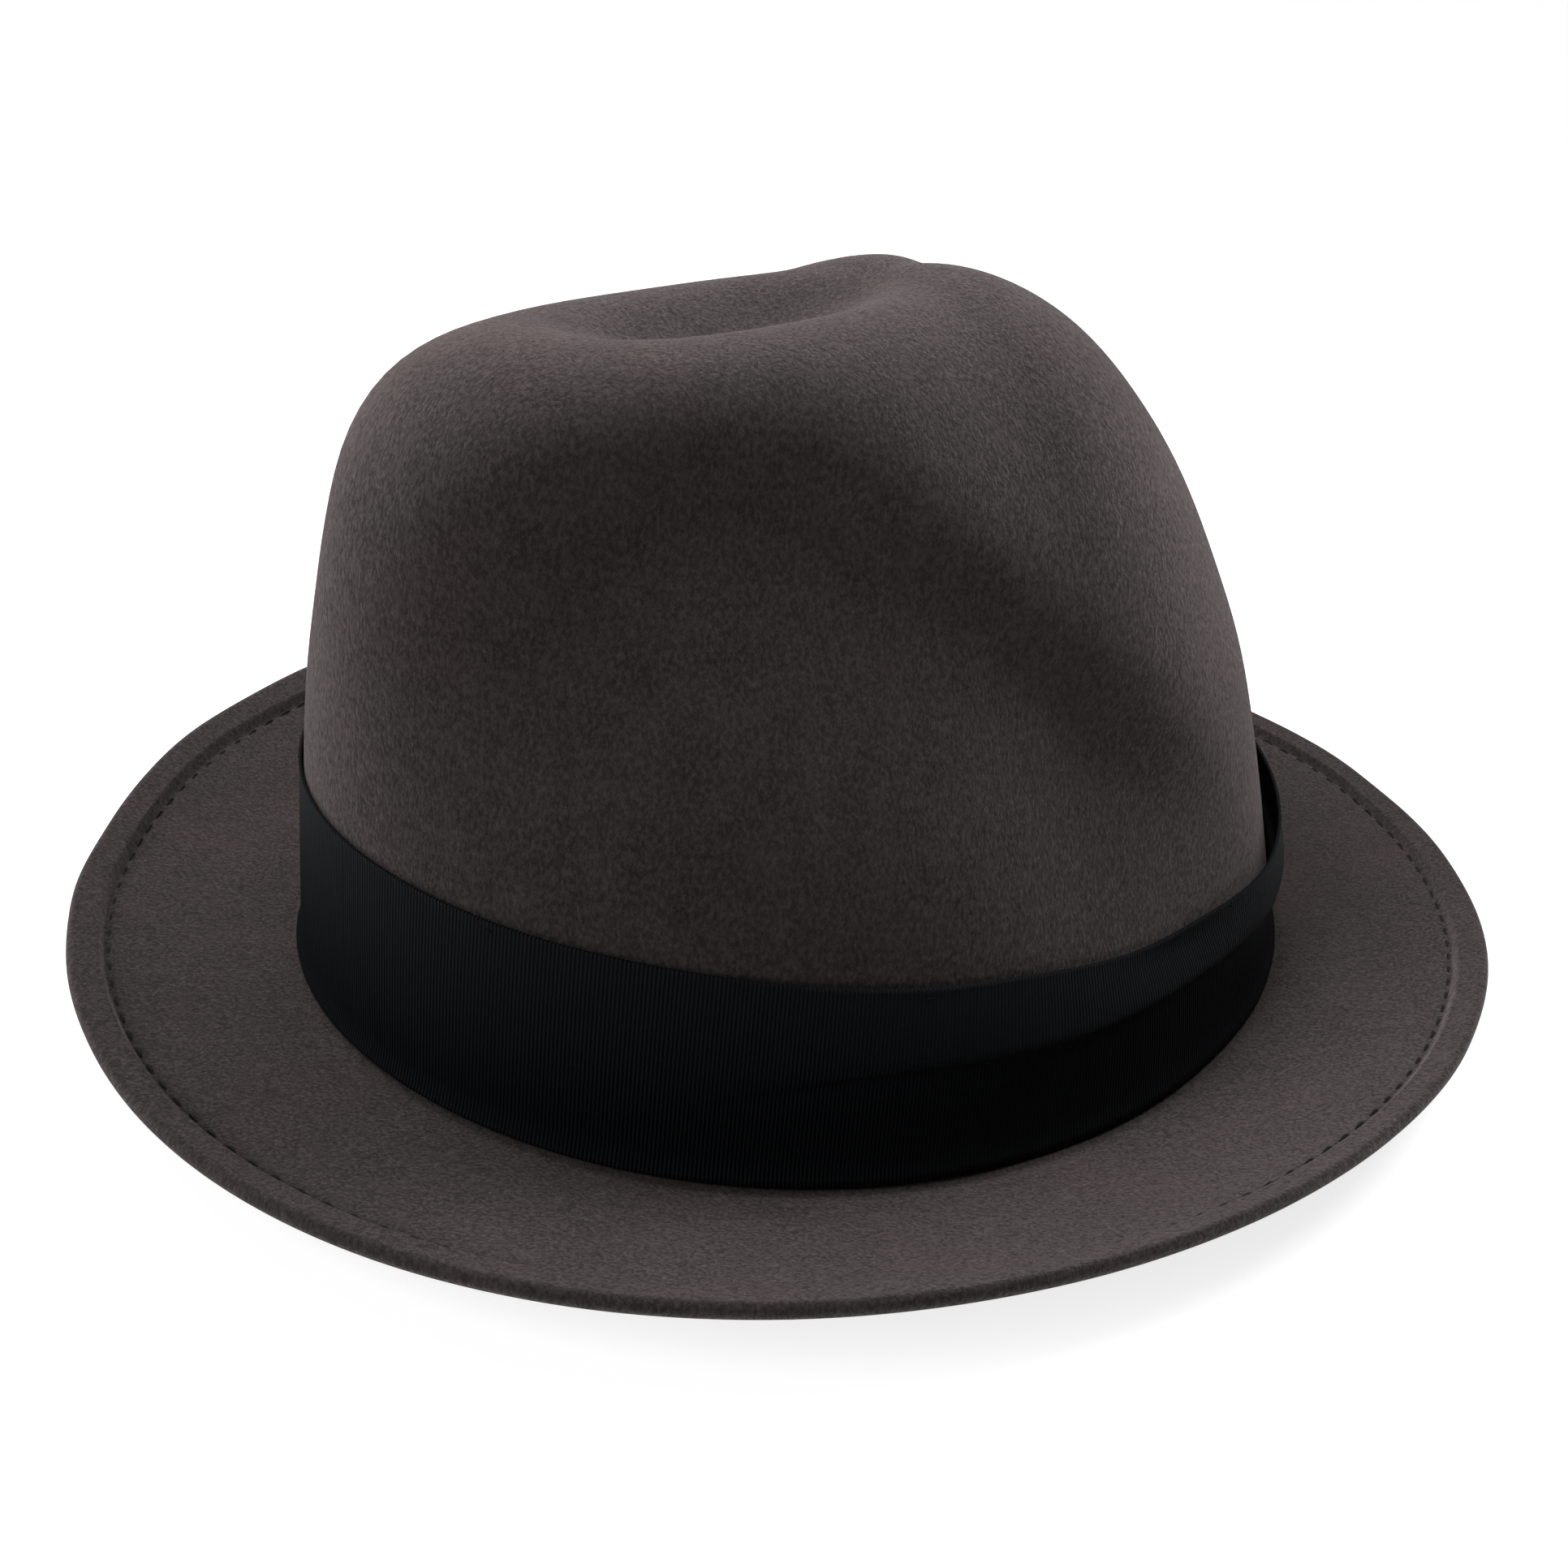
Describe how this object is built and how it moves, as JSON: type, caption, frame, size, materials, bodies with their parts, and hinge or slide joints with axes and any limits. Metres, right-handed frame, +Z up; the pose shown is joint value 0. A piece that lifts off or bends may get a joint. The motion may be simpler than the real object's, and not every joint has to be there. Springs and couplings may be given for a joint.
{
  "type": "fedora hat",
  "caption": "Felt fedora with a long dent in the top, front pinches, a welted brim, a pleated ribbon band with a bow, a leather sweatband and a lining.",
  "frame": {"origin": "centre of the head opening, at the height where the crown bends out into the brim", "axes": "+Z up through the crown, -Y to the wearer's front, +X to the wearer's left"},
  "size_m": [0.2584, 0.2924, 0.1365],
  "materials": {
    "felt": "short-napped fur felt",
    "welt_thread": "matt sewing thread",
    "ribbon": "ribbed grosgrain",
    "black_thread": "matt sewing thread",
    "leather": "satin",
    "reed": "satin",
    "tape": "woven tape",
    "stitch_thread": "waxed thread",
    "satin": "satin cloth",
    "piping": "corded satin",
    "tab": "woven satin"
  },
  "bodies": {
    "root": {"felt_body": "felt", "welt_stitching": "welt_thread", "ribbon_band": "ribbon", "band_tacks": "black_thread", "bow_tail": "ribbon", "bow_front_loop": "ribbon", "bow_rear_loop": "ribbon", "bow_knot": "ribbon", "sweatband": "leather", "sweatband_reed": "reed", "reed_tape": "tape", "sweatband_stitching": "stitch_thread", "sweatband_bow": "ribbon", "lining_side": "satin", "lining_tip": "satin", "lining_piping": "piping", "size_tab": "tab"}
  },
  "joints": []
}
